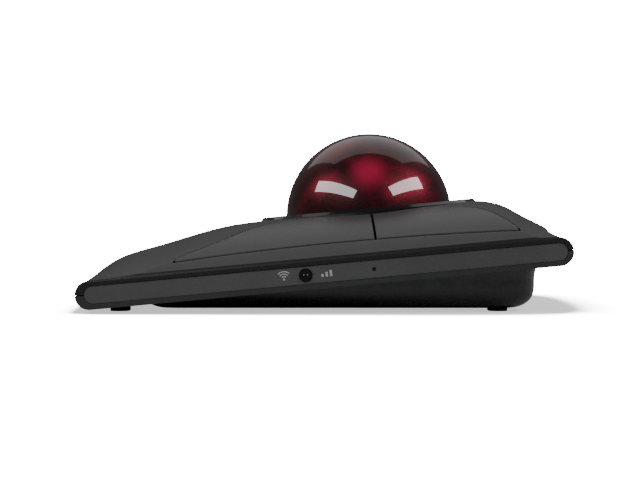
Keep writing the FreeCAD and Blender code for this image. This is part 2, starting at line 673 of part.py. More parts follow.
SWITCH_X = CUP_OUTER + 14.5
SWITCH_Y = {"front": -1.0, "rear": 33.0}
SWITCH_SIZE = (5.8, 12.8, 6.5)
BOARD_TOP = SWITCH_BOARD_BOTTOM + dim("board_thick")
PLUNGER_RISE = 0.9
PLUNGER_TOP = BOARD_TOP + SWITCH_SIZE[2] + PLUNGER_RISE
PRESS_GAP = 0.3
ACTUATOR_RADIUS = 1.6
SUNK = 1.0

cap_inner = whole_body(dim("button_wall"), dim("side_wall"))
caps = OUTER.cut(cap_inner).common(button_plan(dim("button_gap")))
half_split = dim("button_split") / 2
for end, sign in END_OF.items():
    if sign < 0:
        zone = block(0, BIG, -BIG, BALL_DECK.y - half_split, -BIG, BIG)
    else:
        zone = block(0, BIG, BALL_DECK.y + half_split, BIG, -BIG, BIG)
    cap = caps.common(zone)
    extras = [post(ACTUATOR_RADIUS, SWITCH_X, SWITCH_Y[end], PLUNGER_TOP + PRESS_GAP,
                   wing_height(SWITCH_X) - SUNK)]
    for step in (-LUG_REACH, LUG_REACH):
        y = PINS[end] + step
        extras.append(block(PIVOT_X - LUG_RADIUS, PIVOT_X + LUG_RADIUS, y - LUG_HALF_WIDTH,
                            y + LUG_HALF_WIDTH, PIVOT_Z, wing_height(PIVOT_X + LUG_RADIUS) - SUNK))
        extras.append(along_pin(LUG_RADIUS, y, LUG_HALF_WIDTH))
    cap = cap.fuse(extras)
    bore = along_pin(dim("pivot_radius") + dim("pivot_clearance"), PINS[end], 2 * PIN_HALF)
    cap = cap.cut(bore).removeSplitter()
    keep_shape(cap, "button_%s_right" % end, DECK)
    keep_shape(cap.mirror(Vector(0, 0, 0), Vector(1, 0, 0)), "button_%s_left" % end, DECK)

# ---------------------------------------------------------------- top shell
window = button_plan(0.0)
windows = [window, window.mirror(Vector(0, 0, 0), Vector(1, 0, 0))]
ring_hole = Part.makeCylinder(RING_OUTER + 0.2, BIG, Vector(0, BALL_DECK.y, -BIG / 2))
top = OUTER.common(UPPER_HALF).cut(INNER)
bosses = []
for side, sign in SIDES:
    for x, y in CASE_SCREWS:
        boss = in_deck(post(CASE_POST_RADIUS, sign * x, y, 0, BIG / 4)).common(OUTER)
        floor = TRAY_FLOOR if y < 0 else -NOSE
        bosses.append(boss.cut(block(-BIG, BIG, -BIG, BIG, -BIG, floor)))
top = top.fuse(bosses)
shadow_line = block(-BIG, BIG, -BIG, BIG, -1, 0.3).cut(envelope(0.5, 0.5))
BOSS_HOLE_TOP = 6.0
boss_holes = [in_deck(post(SCREW, sign * x, y, 0, DECK.multVec(Vector(x, y, BOSS_HOLE_TOP)).z))
              for side, sign in SIDES for x, y in CASE_SCREWS]
for hollow in windows + [ring_hole, shadow_line] + shared_cuts + boss_holes:
    top = top.cut(hollow)
keep_shape(top.removeSplitter(), "top_shell", DECK)


# ---------------------------------------------------------------- pins, switches, plungers
def box(name, length, width, height, x, y, z):
    """A block by its lowest corner; each size is a number or an expression on the sheet."""
    sizes = {"Length": str(length), "Width": str(width), "Height": str(height)}
    return primitive("Box", name, sizes, x, y, z)


pin_turn = Rotation(Vector(1, 0, 0), -90)
pins = [primitive("Cylinder", "pivot_pin", {"Radius": "dims.pivot_radius", "Height": str(2 * PIN_HALF)},
                  sign * PIVOT_X, y - PIN_HALF, PIVOT_Z, pin_turn)
        for side, sign in SIDES for y in PINS.values()]
keep(together("button_pins", pins), "button_pins", DECK)

SWITCH_WIDE, SWITCH_LONG, SWITCH_TALL = SWITCH_SIZE
WELL_SIDE = 2.4
WELL_DEPTH = 2.0
PLUNGER_SIDE = 1.8
PLUNGER_SUNK = 1.0
for end, y in SWITCH_Y.items():
    for side, sign in SIDES:
        x = sign * SWITCH_X
        label = "switch_%s_%s" % (end, side)
        case = box(label + "_case", SWITCH_WIDE, SWITCH_LONG, SWITCH_TALL,
                   x - SWITCH_WIDE / 2, y - SWITCH_LONG / 2, BOARD_TOP)
        plunger_well = box(label + "_well", WELL_SIDE, WELL_SIDE, WELL_DEPTH + 1,
                           x - WELL_SIDE / 2, y - WELL_SIDE / 2, BOARD_TOP + SWITCH_TALL - WELL_DEPTH)
        keep(joined("Cut", label, case, plunger_well), label, DECK)
        label = "plunger_%s_%s" % (end, side)
        plunger = box(label, PLUNGER_SIDE, PLUNGER_SIDE, PLUNGER_RISE + PLUNGER_SUNK,
                      x - PLUNGER_SIDE / 2, y - PLUNGER_SIDE / 2, PLUNGER_TOP - PLUNGER_RISE - PLUNGER_SUNK)
        keep(plunger, label, DECK)


def switch_board(label, sign):
    """Board under the two microswitches of one side."""
    x0 = SWITCH_BOARD["x0"] if sign > 0 else -SWITCH_BOARD["x1"]
    board = box(label + "_panel", SWITCH_BOARD["x1"] - SWITCH_BOARD["x0"],
                SWITCH_BOARD["y1"] - SWITCH_BOARD["y0"], "dims.board_thick",
                x0, SWITCH_BOARD["y0"], SWITCH_BOARD_BOTTOM)
    holes = [primitive("Cylinder", label + "_hole", {"Radius": "dims.screw_radius", "Height": "3"},
                       sign * x, y, SWITCH_BOARD_BOTTOM - 1) for x, y in board_posts]
    keep(joined("Cut", label, board, together(label + "_holes", holes)), label, DECK)


for side, sign in SIDES:
    switch_board("switch_board_" + side, sign)


# ---------------------------------------------------------------- side strips and their fittings
def stadium_body(name, length_text, height_text, depth_text):
    """A PartDesign body: a slot-shaped outline, lengthwise along X, padded up Z."""
    body = doc.addObject("PartDesign::Body", name)
    sketch = body.newObject("Sketcher::SketchObject", name + "_outline")
    plane = next(f for f in body.Origin.OriginFeatures if f.Role == "XY_Plane")
    sketch.AttachmentSupport = [(plane, "")]
    sketch.MapMode = "FlatFace"
    flat_text = "((%s) - (%s)) / 2" % (length_text, height_text)
    half_text = "(%s) / 2" % height_text
    flat = value_of(flat_text)
    half = value_of(half_text)
    turn = math.pi / 2
    up = Vector(0, 0, 1)
    sketch.addGeometry(Part.LineSegment(Vector(-flat, half, 0), Vector(flat, half, 0)))
    sketch.addGeometry(Part.ArcOfCircle(Part.Circle(Vector(flat, 0, 0), up, half), -turn, turn))
    sketch.addGeometry(Part.LineSegment(Vector(flat, -half, 0), Vector(-flat, -half, 0)))
    sketch.addGeometry(Part.ArcOfCircle(Part.Circle(Vector(-flat, 0, 0), up, half), turn, 3 * turn))
    for pair in ((0, 2, 1, 2), (1, 1, 2, 1), (2, 2, 3, 2), (3, 1, 0, 1)):
        sketch.addConstraint(Sketcher.Constraint("Coincident", *pair))
    places = [("DistanceX", 0, 1, "-" + flat_text), ("DistanceX", 0, 2, flat_text),
              ("DistanceX", 2, 1, flat_text), ("DistanceX", 2, 2, "-" + flat_text),
              ("DistanceY", 0, 1, half_text), ("DistanceY", 0, 2, half_text),
              ("DistanceY", 2, 1, "-" + half_text), ("DistanceY", 2, 2, "-" + half_text),
              ("DistanceX", 1, 3, flat_text), ("DistanceX", 3, 3, "-" + flat_text)]
    for axis, edge, end, text in places:
        index = sketch.addConstraint(Sketcher.Constraint(axis, -1, 1, edge, end, value_of(text)))
        sketch.setExpression("Constraints[%d]" % index, text)
    pad = body.newObject("PartDesign::Pad", name + "_pad")
    pad.Profile = sketch
    pad.setExpression("Length", depth_text)
    body.Tip = pad
    return body


FACE_RIGHT = Rotation(Vector(1, 1, 1), 120)
FACE_LEFT = Rotation(Vector(0, 0, 1), 180).multiply(FACE_RIGHT)
strip_back = HALF_WIDTH - dim("strip_recess")
across = Rotation(Vector(0, 1, 0), 90)


def cross_bar(name, radius, length, x, y):
    """A round bar along X at the height of the deck plane, from x outwards."""
    return primitive("Cylinder", name, {"Radius": radius, "Height": str(length)}, x, y, 0, across)


def side_strip(label, turn, sign):
    """The plain strip that lies in the recess of one side face."""
    strip = stadium_body(label + "_body", "dims.strip_length - 0.2", "dims.strip_height - 0.2",
                         "dims.strip_thick")
    strip.Placement = Placement(Vector(sign * strip_back, STRIP_Y, 0), turn)
    return strip


keep(side_strip("side_strip_left", FACE_LEFT, -1), "side_strip_left", DECK)
strip_holes = [cross_bar("button_hole", "dims.dpi_button_radius + %s" % DPI_FIT, 4, strip_back - 1, DPI_Y),
               cross_bar("light_hole", "dims.light_radius", 4, strip_back - 1, LIGHT_Y)]
keep(joined("Cut", "side_strip_right", side_strip("side_strip_right", FACE_RIGHT, 1),
            together("strip_holes", strip_holes)), "side_strip_right", DECK)

# The small button stands a little proud of the strip and presses a switch behind it.
DPI_TRAVEL_ROOM = 0.7
DPI_CAP = 1.6
DPI_STEM = 1.9
DPI_PROUD = 0.15
DPI_SWITCH = (2.2, 4.5, 3.6)
stem_x = HALF_WIDTH + DPI_PROUD - DPI_CAP - DPI_STEM
dpi_cap = cross_bar("dpi_cap", "dims.dpi_button_radius", DPI_CAP, stem_x + DPI_STEM, DPI_Y)
dpi_stem = cross_bar("dpi_stem", "1.2", DPI_STEM + 0.1, stem_x, DPI_Y)
keep(joined("Fuse", "dpi_button", dpi_cap, dpi_stem), "dpi_button", DECK)
keep(box("dpi_switch", *DPI_SWITCH, stem_x - DPI_TRAVEL_ROOM - DPI_SWITCH[0], DPI_Y - DPI_SWITCH[1] / 2,
         BOARD_TOP), "dpi_switch", DECK)

# The light's guide is a clear rod with a lamp at its inner end.
GUIDE_LENGTH = 4.0
LAMP = (1.0, 1.6, 0.8)
guide_x = HALF_WIDTH - GUIDE_LENGTH - 0.15
keep(cross_bar("status_light_guide", "dims.light_radius", GUIDE_LENGTH, guide_x, LIGHT_Y),
     "status_light_guide", DECK)
keep(box("status_led", *LAMP, guide_x - LAMP[0] - 0.1, LIGHT_Y - LAMP[1] / 2, BOARD_TOP), "status_led", DECK)

# ---------------------------------------------------------------- sensors
LENS_DEPTH = 2.2
SENSOR_GAP = 0.3
CHIP = (6.0, 8.0, 1.4)
SENSOR_BOARD = (12.0, 18.0)
lens_out = CUP_INNER + SENSOR_GAP
chip_out = lens_out + LENS_DEPTH + SENSOR_GAP


def facing_ball(piece, label, way, out, half_x=0.0, half_y=0.0):
    """Set a piece square to the line from the ball's centre, out from the centre by out."""
    turn = Rotation(Vector(0, 0, 1), way)
    piece.Placement = Placement(BALL + turn.multVec(Vector(-half_x, -half_y, out)), turn)
    keep(piece, label)


for side, way in sensor_ways.items():
    lens = primitive("Cylinder", "lens_" + side,
                     {"Radius": str(LENS_RADIUS - 0.05), "Height": str(LENS_DEPTH)})
    facing_ball(lens, "sensor_lens_" + side, way, lens_out)
    chip = box("chip_" + side, *CHIP, 0, 0, 0)
    facing_ball(chip, "sensor_chip_" + side, way, chip_out, CHIP[0] / 2, CHIP[1] / 2)
    board = box("board_" + side, *SENSOR_BOARD, "dims.board_thick", 0, 0, 0)
    facing_ball(board, "sensor_board_" + side, way, chip_out + CHIP[2],
                SENSOR_BOARD[0] / 2, SENSOR_BOARD[1] / 2)

# ---------------------------------------------------------------- main board, socket, battery
MAIN_BOTTOM = -dim("socket_height") / 2 - dim("board_thick")
MAIN_FRONT = 54.0
MAIN_REAR = NOSE_Y - 0.8
MAIN_HALF = 26.0
MAIN_HOLE_INSET = 4.0
# Side, and middle in X and Y, of the flat chips on the main board.
MAIN_CHIPS = ((7, -16, 58), (5, 8, 57), (3, 16, 62))
CHIP_HEIGHT = 0.9
main_panel = box("main_panel", 2 * MAIN_HALF, MAIN_REAR - MAIN_FRONT, "dims.board_thick",
                 -MAIN_HALF, MAIN_FRONT, MAIN_BOTTOM)
main_holes = [primitive("Cylinder", "main_hole", {"Radius": "dims.screw_radius", "Height": "3"},
                        sign * (MAIN_HALF - MAIN_HOLE_INSET), MAIN_REAR - MAIN_HOLE_INSET, MAIN_BOTTOM - 1)
              for side, sign in SIDES]
keep(joined("Cut", "main_board", main_panel, together("main_holes", main_holes)), "main_board", DECK)
chips = [box("main_chip", width, width, CHIP_HEIGHT, x - width / 2, y - width / 2,
             MAIN_BOTTOM + dim("board_thick")) for width, x, y in MAIN_CHIPS]
keep(together("board_chips", chips), "board_chips", DECK)

SOCKET_WALL = 0.3
TONGUE = (6.6, 0.7)
TONGUE_ROOT = 0.9
upright = Rotation(Vector(1, 0, 0), -90)
socket_front = dim("body_half_depth") - 0.3 - dim("socket_length")
shell_body = stadium_body("socket_shell", "dims.socket_width", "dims.socket_height", "dims.socket_length")
hollow_body = stadium_body("socket_hollow", "dims.socket_width - %s" % (2 * SOCKET_WALL),
                           "dims.socket_height - %s" % (2 * SOCKET_WALL), "dims.socket_length")
shell_body.Placement = Placement(Vector(0, socket_front, 0), upright)
hollow_body.Placement = Placement(Vector(0, socket_front + 1.0, 0), upright)
socket = joined("Cut", "socket_case", shell_body, hollow_body)
tongue = box("socket_tongue", TONGUE[0], "dims.socket_length - 1.6", TONGUE[1],
             -TONGUE[0] / 2, socket_front + TONGUE_ROOT, -TONGUE[1] / 2)
keep(joined("Fuse", "usb_c_socket", socket, tongue), "usb_c_socket", DECK)

BATTERY_REAR = -26.0
BATTERY_ROUND = 1.6
cell = box("cell", "dims.battery_length", "dims.battery_width", "dims.battery_thick",
           -dim("battery_length") / 2, BATTERY_REAR - dim("battery_width"), TRAY_FLOOR)
rounded = doc.addObject("Part::Fillet", "cell_rounded")
rounded.Base = cell
doc.recompute()
rounded.Edges = [(i + 1, BATTERY_ROUND, BATTERY_ROUND) for i, edge in enumerate(cell.Shape.Edges)
                 if abs(edge.Vertexes[0].Y - edge.Vertexes[-1].Y) > 1]
keep(rounded, "battery", DECK)

# ---------------------------------------------------------------- receiver and mode switch
keep(box("receiver_cap", "dims.receiver_width", "dims.receiver_thick", "dims.receiver_cap",
         RECEIVER_X - dim("receiver_width") / 2, RECEIVER_Y - dim("receiver_thick") / 2,
         RECEIVER_BOTTOM), "receiver_cap")
PLUG_WALL = 0.3
PLUG_VOID_THICK = 1.9
plug_z = RECEIVER_BOTTOM + dim("receiver_cap")
plug_tube = box("plug_tube", 2 * PLUG_HALF_WIDTH, 2 * PLUG_HALF_THICK, "dims.receiver_plug",
                RECEIVER_X - PLUG_HALF_WIDTH, RECEIVER_Y - PLUG_HALF_THICK, plug_z)
plug_void = box("plug_void", 2 * (PLUG_HALF_WIDTH - PLUG_WALL), PLUG_VOID_THICK, "dims.receiver_plug",
                RECEIVER_X - PLUG_HALF_WIDTH + PLUG_WALL, RECEIVER_Y, plug_z + 1)
keep(joined("Cut", "receiver_plug", plug_tube, plug_void), "receiver_plug")

KNOB_X = -RECEIVER_X
KNOB_BOTTOM = dim("foot_height") + 0.2
KNOB_HEIGHT = 0.7
STEM_TOP = KNOB_BOTTOM + 3.2
SLIDE_SWITCH = (9.0, 4.0, 3.0)
MODE_BOARD = (16.0, 10.0)
slide_bottom = STEM_TOP + 0.3
knob = box("knob", "dims.knob_length", "dims.knob_width", KNOB_HEIGHT,
           KNOB_X - dim("knob_length") / 2, RECEIVER_Y - dim("knob_width") / 2, KNOB_BOTTOM)
stem = box("knob_stem", 2 * STEM_HALF, 2 * STEM_HALF, STEM_TOP - KNOB_BOTTOM - 0.6,
           KNOB_X - STEM_HALF, RECEIVER_Y - STEM_HALF, KNOB_BOTTOM + 0.6)
keep(joined("Fuse", "mode_switch_knob", knob, stem), "mode_switch_knob")
keep(box("mode_switch", *SLIDE_SWITCH, KNOB_X - SLIDE_SWITCH[0] / 2, RECEIVER_Y - SLIDE_SWITCH[1] / 2,
         slide_bottom), "mode_switch")
keep(box("mode_board", *MODE_BOARD, "dims.board_thick", KNOB_X - MODE_BOARD[0] / 2,
         RECEIVER_Y - MODE_BOARD[1] / 2, slide_bottom + SLIDE_SWITCH[2]), "mode_board")


# ---------------------------------------------------------------- feet and screws
def foot_solid(label, sign, y, height):
    """A stadium-shaped rubber foot, from the table up."""
    foot = stadium_body(label + "_body", "dims.foot_length", "dims.foot_width", height)
    foot.Placement = Placement(Vector(sign * dim("foot_x"), y, 0), Rotation())
    return foot


# The front feet stand in front of the base and reach up to the sloping blade.
FRONT_FOOT_REACH = 4
for side, sign in SIDES:
    keep(foot_solid("foot_rear_" + side, sign, dim("rear_foot_y"), "dims.foot_height"), "foot_rear_" + side)
    label = "foot_front_" + side
    tall = foot_solid(label, sign, -dim("front_foot_y"), str(FRONT_FOOT_REACH))
    blade = box(label + "_blade", 2 * BIG, 2 * BIG, BIG, 0, 0, 0)
    blade.Placement = DECK.multiply(Placement(Vector(-BIG, -BIG, -NOSE), Rotation()))
    keep(joined("Cut", label, tall, blade), label)


def screw(name, x, y, seat_z, length, place=WORLD, down=False):
    """A pan-head screw whose head stands on seat_z; its shank points up, or down."""
    head = primitive("Cylinder", name + "_head", {"Radius": str(HEAD_RADIUS), "Height": str(HEAD_HEIGHT)},
                     x, y, seat_z)
    shank = primitive("Cylinder", name + "_shank", {"Radius": "dims.screw_radius", "Height": str(length)},
                      x, y, seat_z - length if down else seat_z)
    both = joined("Fuse", name, head, shank)
    both.Placement = place
    return both


CASE_SCREW_TOP = 5.0
CUP_SCREW_LENGTH = 5.0
case_screws = [screw("case_screw", sign * x, y, CASE_HEAD_BOTTOM,
                     DECK.multVec(Vector(x, y, CASE_SCREW_TOP)).z - CASE_HEAD_BOTTOM)
               for side, sign in SIDES for x, y in CASE_SCREWS]
keep(together("case_screws", case_screws), "case_screws")
cup_screws = [screw("cup_screw", x, y, CUP_TOP - HEAD_SINK, CUP_SCREW_LENGTH, DECK, True)
              for x, y in cup_post_plans]
keep(together("cup_screws", cup_screws), "cup_screws")
board_screws = [screw("board_screw", sign * x, y, BOARD_TOP, BOARD_SCREW_REACH, DECK, True)
                for side, sign in SIDES for x, y in board_posts]
keep(together("board_screws", board_screws), "board_screws")


# ---------------------------------------------------------------- write the files
doc.recompute()
for obj in doc.Objects:
    assert "Invalid" not in obj.State and "Error" not in obj.State, obj.Label
for obj in nodes:
    assert not obj.Shape.isNull() and obj.Shape.isValid(), obj.Label
for obj in nodes:
    obj.Shape.exportStep("parts/%s.step" % obj.Label)
    print(obj.Label, len(obj.Shape.Solids), round(obj.Shape.Volume, 1))
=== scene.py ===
import math

import bpy
from mathutils import Matrix, Vector


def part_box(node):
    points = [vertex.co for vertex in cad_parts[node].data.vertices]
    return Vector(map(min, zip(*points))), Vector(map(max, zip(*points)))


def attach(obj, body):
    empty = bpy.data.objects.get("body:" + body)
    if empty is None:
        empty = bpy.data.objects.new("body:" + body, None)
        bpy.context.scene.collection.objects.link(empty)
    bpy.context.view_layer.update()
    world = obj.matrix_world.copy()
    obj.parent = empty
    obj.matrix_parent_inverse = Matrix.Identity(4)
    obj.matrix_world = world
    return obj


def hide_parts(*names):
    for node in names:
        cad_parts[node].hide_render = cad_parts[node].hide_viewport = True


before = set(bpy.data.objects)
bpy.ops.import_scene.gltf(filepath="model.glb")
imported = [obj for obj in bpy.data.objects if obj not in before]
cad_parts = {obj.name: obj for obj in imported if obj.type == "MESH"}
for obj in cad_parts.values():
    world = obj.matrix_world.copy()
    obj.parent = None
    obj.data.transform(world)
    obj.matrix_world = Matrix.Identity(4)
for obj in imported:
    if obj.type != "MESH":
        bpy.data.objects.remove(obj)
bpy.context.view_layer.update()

# The top shell is the spine of the mouse and the rim of its blade: one thin casing,
# injection-moulded in charcoal ABS. Its tool is spark-eroded, which leaves a fine satin
# grain, and the resin carries a very faint mottle.
SATIN_GRAIN = 5200.0
SATIN_DEPTH = 0.00002
SHELL_GREY = (0.021, 0.021, 0.0218)
# Flow marks per metre in the resin, how much they vary the polish, and a lacquer's polish.
FLOW_SCALE = 45.0
POLISH_SWING = 0.03
LACQUER_ROUGHNESS = 0.06


def moulded(name, colour, roughness, grain, depth, mottle=0.10, coat=0.0, gleam=0.5):
    """Moulded plastic: faint flow marks in the resin and a fine grain from the tool."""
    material = bpy.data.materials.new(name)
    material.use_nodes = True
    nodes = material.node_tree.nodes
    links = material.node_tree.links
    shader = nodes["Principled BSDF"]
    shader.inputs["Specular IOR Level"].default_value = gleam
    shader.inputs["Coat Weight"].default_value = coat
    shader.inputs["Coat Roughness"].default_value = LACQUER_ROUGHNESS
    place = nodes.new("ShaderNodeTexCoord")
    flow = nodes.new("ShaderNodeTexNoise")
    flow.inputs["Scale"].default_value = FLOW_SCALE
    flow.inputs["Detail"].default_value = 3.0
    links.new(place.outputs["Object"], flow.inputs["Vector"])
    tint = nodes.new("ShaderNodeValToRGB")
    dark, light = tint.color_ramp.elements
    dark.position = 0.35
    dark.color = (*[part * (1.0 - mottle) for part in colour], 1.0)
    light.position = 0.65
    light.color = (*[part * (1.0 + mottle) for part in colour], 1.0)
    links.new(flow.outputs["Fac"], tint.inputs["Fac"])
    links.new(tint.outputs["Color"], shader.inputs["Base Color"])
    polish = nodes.new("ShaderNodeMapRange")
    polish.inputs["To Min"].default_value = roughness - POLISH_SWING
    polish.inputs["To Max"].default_value = roughness + POLISH_SWING
    links.new(flow.outputs["Fac"], polish.inputs["Value"])
    links.new(polish.outputs["Result"], shader.inputs["Roughness"])
    speckle = nodes.new("ShaderNodeTexNoise")
    speckle.inputs["Scale"].default_value = grain
    speckle.inputs["Detail"].default_value = 2.0
    links.new(place.outputs["Object"], speckle.inputs["Vector"])
    bump = nodes.new("ShaderNodeBump")
    bump.inputs["Strength"].default_value = 0.5
    bump.inputs["Distance"].default_value = depth
    links.new(speckle.outputs["Fac"], bump.inputs["Height"])
    links.new(bump.outputs["Normal"], shader.inputs["Normal"])
    return material


def finish(material, *names):
    """Give carried-over CAD nodes their finish."""
    for name in names:
        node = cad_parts[name]
        node.data.materials.clear()
        node.data.materials.append(material)


# Radius of the rolled edges, and the painted shade beside the side faces: a near-black band where the
# rim turns sideways out of the light.
EDGE_ROUND = 0.0008
RIM_PAINTED_SHADE = (0.0008, 0.0008, 0.0009, 1.0)
RIM_SHADE_WIDTH = 0.0013


def with_rolled_edges(material, radius):
    """Round the look of sharp edges a little, as the polish of the mould leaves them."""
    nodes = material.node_tree.nodes
    rolled = nodes.new("ShaderNodeBevel")
    rolled.samples = 6
    rolled.inputs["Radius"].default_value = radius
    bump = nodes["Principled BSDF"].inputs["Normal"].links[0].from_node
    material.node_tree.links.new(rolled.outputs["Normal"], bump.inputs["Normal"])
    return material


def with_painted_rim_shade(material, side_face):
    """Paint the rounded rim beside the side faces near-black, as painted shade where it turns
    sideways out of the light.
    """
    nodes = material.node_tree.nodes
    links = material.node_tree.links
    shader = nodes["Principled BSDF"]
    place = nodes.new("ShaderNodeTexCoord")
    parts = nodes.new("ShaderNodeSeparateXYZ")
    links.new(place.outputs["Object"], parts.inputs["Vector"])
    out = nodes.new("ShaderNodeMath")
    out.operation = "ABSOLUTE"
    links.new(parts.outputs["X"], out.inputs[0])
    rim_shade_mask = nodes.new("ShaderNodeMapRange")
    rim_shade_mask.interpolation_type = "SMOOTHSTEP"
    rim_shade_mask.inputs["From Min"].default_value = side_face - RIM_SHADE_WIDTH
    rim_shade_mask.inputs["From Max"].default_value = side_face - RIM_SHADE_WIDTH / 2
    links.new(out.outputs["Value"], rim_shade_mask.inputs["Value"])
    # Painted shade: the base colour turns near-black on the rounded rim beside the side faces.
    painted_shade_band = nodes.new("ShaderNodeMix")
    painted_shade_band.data_type = "RGBA"
    painted_shade_band.inputs["B"].default_value = RIM_PAINTED_SHADE
    links.new(rim_shade_mask.outputs["Result"], painted_shade_band.inputs["Factor"])
    links.new(shader.inputs["Base Color"].links[0].from_socket, painted_shade_band.inputs["A"])
    links.new(painted_shade_band.outputs["Result"], shader.inputs["Base Color"])
    return material


SIDE_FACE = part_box("top_shell")[1][0]
shell_satin = moulded("charcoal_satin_abs", SHELL_GREY,
                      roughness=0.42, grain=SATIN_GRAIN, depth=SATIN_DEPTH)
# The shell's rim beside the side faces carries a band of painted shade.
finish(with_rolled_edges(with_painted_rim_shade(shell_satin, SIDE_FACE), EDGE_ROUND), "top_shell")

# The four button caps are moulded in the same resin as the shell, each in one piece with
# its two hinge lugs and the post that presses the switch. The fingers keep them a shade
# smoother than the spine.
BUTTON_GREY = (0.0195, 0.0195, 0.0202)
CORNERS = ["%s_%s" % (end, side) for end in ("front", "rear") for side in ("left", "right")]
button_satin = moulded("charcoal_button_abs", BUTTON_GREY,
                       roughness=0.36, grain=SATIN_GRAIN, depth=0.000015)
finish(with_rolled_edges(button_satin, EDGE_ROUND), *["button_" + corner for corner in CORNERS])

# The tray, the lower half of the blade, and the base under it are moulded in near-black
# ABS from a polished tool. They shine softly, with a trace of orange peel.
base_gloss = moulded("black_polished_abs", (0.021, 0.021, 0.0215),
                     roughness=0.26, grain=700.0, depth=0.000006, mottle=0.05)
finish(base_gloss, "bottom_tray", "base_housing")

# A flat strip of matte grey plastic is pressed into a recess along each side face. Its
# grain is coarser than the shell's.
strip_matte = moulded("grey_strip_abs", (0.046, 0.046, 0.0471),
                      roughness=0.55, grain=4200.0, depth=0.00003)
finish(strip_matte, "side_strip_left", "side_strip_right")

# The ring around the ball is polished black plastic, pressed over the cup's rim. The cup
# below it is a plain dark moulding in acetal.
ring_gloss = moulded("black_ring_abs", (0.004, 0.004, 0.0045),
                     roughness=0.14, grain=900.0, depth=0.000003, mottle=0.04, coat=0.6)
finish(ring_gloss, "ball_ring")
cup_pom = moulded("cup_black_pom", (0.012, 0.012, 0.012),
                  roughness=0.45, grain=2600.0, depth=0.00001)
finish(cup_pom, "ball_cup")

# The small round button in the right strip is black and polished, and stands a hair
# proud of the strip.
key_gloss = moulded("black_key_abs", (0.0012, 0.0012, 0.0014),
                    roughness=0.22, grain=1500.0, depth=0.000004, mottle=0.05, gleam=0.3)
finish(key_gloss, "dpi_button")

# The light guide is a smoked clear rod whose end shows as a pin-prick beside the button; the
# lamp behind it is off.
guide_clear = moulded("smoke_polycarbonate", (0.004, 0.004, 0.0045),
                      roughness=0.15, grain=900.0, depth=0.000002, mottle=0.03, gleam=0.3)
finish(guide_clear, "status_light_guide")
lamp_epoxy = moulded("lamp_epoxy", (0.55, 0.52, 0.40), roughness=0.30, grain=900.0, depth=0.000004)
finish(lamp_epoxy, "status_led")

# Inside: the sensor's moulded lens, its chip and laminate boards with green solder mask,
# the microswitches with their red plungers, and the battery in its foil.
lens_acrylic = moulded("lens_acrylic", (0.30, 0.31, 0.33),
                       roughness=0.06, grain=700.0, depth=0.000001, mottle=0.02, coat=0.6)
finish(lens_acrylic, "sensor_lens_left", "sensor_lens_right")
chip_epoxy = moulded("chip_epoxy", (0.018, 0.018, 0.019), roughness=0.48, grain=3800.0, depth=0.00001)
finish(chip_epoxy, "sensor_chip_left", "sensor_chip_right", "board_chips")
solder_mask = moulded("solder_mask_green", (0.012, 0.085, 0.032),
                      roughness=0.30, grain=1400.0, depth=0.000008, mottle=0.20, coat=0.2)
finish(solder_mask, "sensor_board_left", "sensor_board_right", "switch_board_left",
       "switch_board_right", "main_board", "mode_board")
switch_nylon = moulded("switch_nylon", (0.020, 0.020, 0.022),
                       roughness=0.42, grain=3000.0, depth=0.00001)
plunger_nylon = moulded("plunger_red_nylon", (0.45, 0.035, 0.025),
                        roughness=0.35, grain=2500.0, depth=0.000006)
finish(switch_nylon, "dpi_switch", "mode_switch", *["switch_" + corner for corner in CORNERS])
finish(plunger_nylon, *["plunger_" + corner for corner in CORNERS])
battery_foil = moulded("battery_foil", (0.32, 0.33, 0.35),
                       roughness=0.38, grain=260.0, depth=0.00006, mottle=0.12)
finish(battery_foil, "battery")

# Underneath: the receiver's black cap, the pale knob of the mode switch, and four soft
# rubber feet, moulded with a fine pebble that grips the table.
receiver_satin = moulded("receiver_abs", (0.016, 0.016, 0.017),
                         roughness=0.40, grain=SATIN_GRAIN, depth=0.000012)
finish(receiver_satin, "receiver_cap")
knob_pom = moulded("knob_grey_pom", (0.30, 0.30, 0.31), roughness=0.42, grain=3000.0, depth=0.00001)
finish(knob_pom, "mode_switch_knob")
foot_rubber = moulded("foot_rubber", (0.022, 0.022, 0.023),
                      roughness=0.72, grain=2200.0, depth=0.00005, mottle=0.15)
finish(foot_rubber, *["foot_" + corner for corner in CORNERS])


# Metal: screws and hinge pins in plain steel, the shells of the plug and the socket in
# nickel plate over pressed steel. The bearings are polished white zirconia. Tool marks
# stretch along each metal piece and vary its polish.
MARK_STRETCH = (1.0, 0.06, 1.0)
MARK_SWING = 0.08
MARK_DEPTH = 0.000008


def bright_metal(name, colour, roughness, brush):
    """Worked metal: fine marks of the tool run along the piece and vary its polish."""
    material = bpy.data.materials.new(name)
    material.use_nodes = True
    nodes = material.node_tree.nodes
    links = material.node_tree.links
    shader = nodes["Principled BSDF"]
    shader.inputs["Metallic"].default_value = 1.0
    shader.inputs["Base Color"].default_value = (*colour, 1.0)
    place = nodes.new("ShaderNodeTexCoord")
    along = nodes.new("ShaderNodeMapping")
    along.inputs["Scale"].default_value = MARK_STRETCH
    links.new(place.outputs["Object"], along.inputs["Vector"])
    marks = nodes.new("ShaderNodeTexNoise")
    marks.inputs["Scale"].default_value = brush
    marks.inputs["Detail"].default_value = 4.0
    links.new(along.outputs["Vector"], marks.inputs["Vector"])
    polish = nodes.new("ShaderNodeMapRange")
    polish.inputs["To Min"].default_value = roughness - MARK_SWING
    polish.inputs["To Max"].default_value = roughness + MARK_SWING
    links.new(marks.outputs["Fac"], polish.inputs["Value"])
    links.new(polish.outputs["Result"], shader.inputs["Roughness"])
    bump = nodes.new("ShaderNodeBump")
    bump.inputs["Strength"].default_value = 0.3
    bump.inputs["Distance"].default_value = MARK_DEPTH
    links.new(marks.outputs["Fac"], bump.inputs["Height"])
    links.new(bump.outputs["Normal"], shader.inputs["Normal"])
    return material


